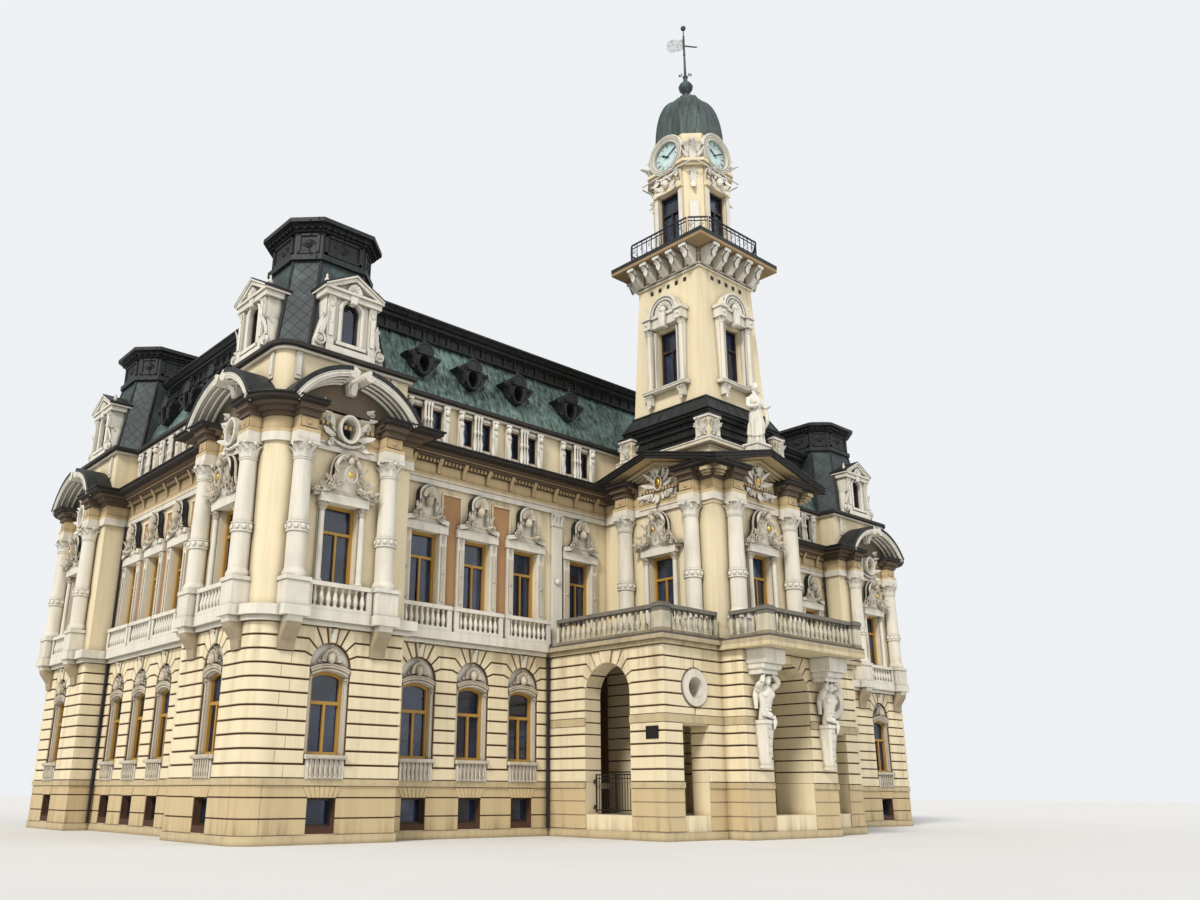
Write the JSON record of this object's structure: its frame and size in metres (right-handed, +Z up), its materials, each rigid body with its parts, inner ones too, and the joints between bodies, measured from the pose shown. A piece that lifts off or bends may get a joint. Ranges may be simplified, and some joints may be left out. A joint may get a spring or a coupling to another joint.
{
  "type": "town_hall",
  "caption": "Two-storey town hall with corner pavilions, mansard roofs, arched porch with atlantes, and a clock tower with gallery, dome and weathervane",
  "frame": {"origin": "bottom centre of the bounding box, on the ground", "axes": "X along the front, Y from the front to the rear, Z up"},
  "size_m": [36.9, 27.1, 35.62],
  "materials": {
    "cream": "matte lime render",
    "white_stone": "painted stucco",
    "tan_stone": "weathered stone",
    "dark_metal": "dark weathered sheet metal",
    "patina": "aged green sheet metal",
    "iron": "painted",
    "timber": "painted",
    "pane_blue": "clear",
    "floor_grey": "rough",
    "dial_white": "opal",
    "gilt": "gilded"
  },
  "bodies": {
    "building": {"front_left_wing_wall": "cream", "front_right_wing_wall": "cream", "left_wing_wall": "cream", "right_wing_wall": "cream", "rear_wing_wall": "cream", "front_pavilion_walls": "cream", "rear_pavilion_walls": "cream", "tower_pavilion_walls": "cream", "porch_side_walls": "cream", "porch_inner_walls": "cream", "porch_entrance_arch": "cream", "porch_terrace": "tan_stone", "terrace_balustrade": "tan_stone", "atlantes": "white_stone", "floor_slabs": "floor_grey", "plinth_courses": "tan_stone", "sill_cornice": "white_stone", "main_entablature": "white_stone", "main_gutter": "dark_metal", "columns": "white_stone", "window_balustrades": "white_stone", "oculus_frames": "white_stone", "ground_window_surrounds": "white_stone", "upper_window_surrounds": "white_stone", "window_frames": "timber", "window_panes": "pane_blue", "pediments": "white_stone", "tower_gables": "dark_metal", "attic_walls": "cream", "attic_pilasters": "white_stone", "attic_cornice": "white_stone", "wing_mansard": "patina", "ridge_cornice": "dark_metal", "upper_roof": "dark_metal", "pavilion_roofs": "dark_metal", "pavilion_crowns": "dark_metal", "pavilion_dormers": "white_stone", "oval_dormers": "dark_metal", "tower_base": "cream", "tower_skirt": "dark_metal", "tower_shaft": "cream", "shaft_windows": "white_stone", "gallery_slab": "tan_stone", "gallery_railing": "iron", "belfry": "cream", "clock_surrounds": "white_stone", "clock_dials": "dial_white", "dome_and_finial": "patina", "statue": "white_stone", "wall_ironwork": "iron"},
    "weathervane": {"weathervane": "gilt"},
    "gate_left_front": {"gate_left_front": "iron"},
    "gate_left_rear": {"gate_left_rear": "iron"},
    "gate_right_front": {"gate_right_front": "iron"},
    "gate_right_rear": {"gate_right_rear": "iron"},
    "minute_hand_front": {"minute_hand_front": "iron"},
    "hour_hand_front": {"hour_hand_front": "iron"},
    "minute_hand_left": {"minute_hand_left": "iron"},
    "hour_hand_left": {"hour_hand_left": "iron"}
  },
  "joints": [
    {"name": "vane_turn", "type": "hinge", "parent": "building", "child": "weathervane", "pos_m": [0, -8.7, 34.05], "axis": [0, 0, 1], "continuous": true},
    {"name": "gate_left_front_swing", "type": "hinge", "parent": "building", "child": "gate_left_front", "pos_m": [-5.2, -9.725, 0.81], "axis": [0, 0, -1], "range_deg": [0, 90]},
    {"name": "gate_left_rear_swing", "type": "hinge", "parent": "building", "child": "gate_left_rear", "pos_m": [-5.2, -7.675, 0.81], "axis": [0, 0, 1], "range_deg": [0, 90]},
    {"name": "gate_right_front_swing", "type": "hinge", "parent": "building", "child": "gate_right_front", "pos_m": [5.2, -9.725, 0.81], "axis": [0, 0, 1], "range_deg": [0, 90]},
    {"name": "gate_right_rear_swing", "type": "hinge", "parent": "building", "child": "gate_right_rear", "pos_m": [5.2, -7.675, 0.81], "axis": [0, 0, -1], "range_deg": [0, 90]},
    {"name": "minute_hand_front_turn", "type": "hinge", "parent": "building", "child": "minute_hand_front", "pos_m": [0, -10.14, 27.85], "axis": [0, 1, 0], "continuous": true},
    {"name": "hour_hand_front_turn", "type": "hinge", "parent": "building", "child": "hour_hand_front", "pos_m": [0, -10.14, 27.85], "axis": [0, 1, 0], "continuous": true},
    {"name": "minute_hand_left_turn", "type": "hinge", "parent": "building", "child": "minute_hand_left", "pos_m": [-1.44, -8.7, 27.85], "axis": [1, 0, 0], "continuous": true},
    {"name": "hour_hand_left_turn", "type": "hinge", "parent": "building", "child": "hour_hand_left", "pos_m": [-1.44, -8.7, 27.85], "axis": [1, 0, 0], "continuous": true}
  ],
  "couplings": [
    {"joint": "hour_hand_front_turn", "follows": "minute_hand_front_turn", "ratio": 0.083333},
    {"joint": "hour_hand_left_turn", "follows": "minute_hand_left_turn", "ratio": 0.083333}
  ]
}
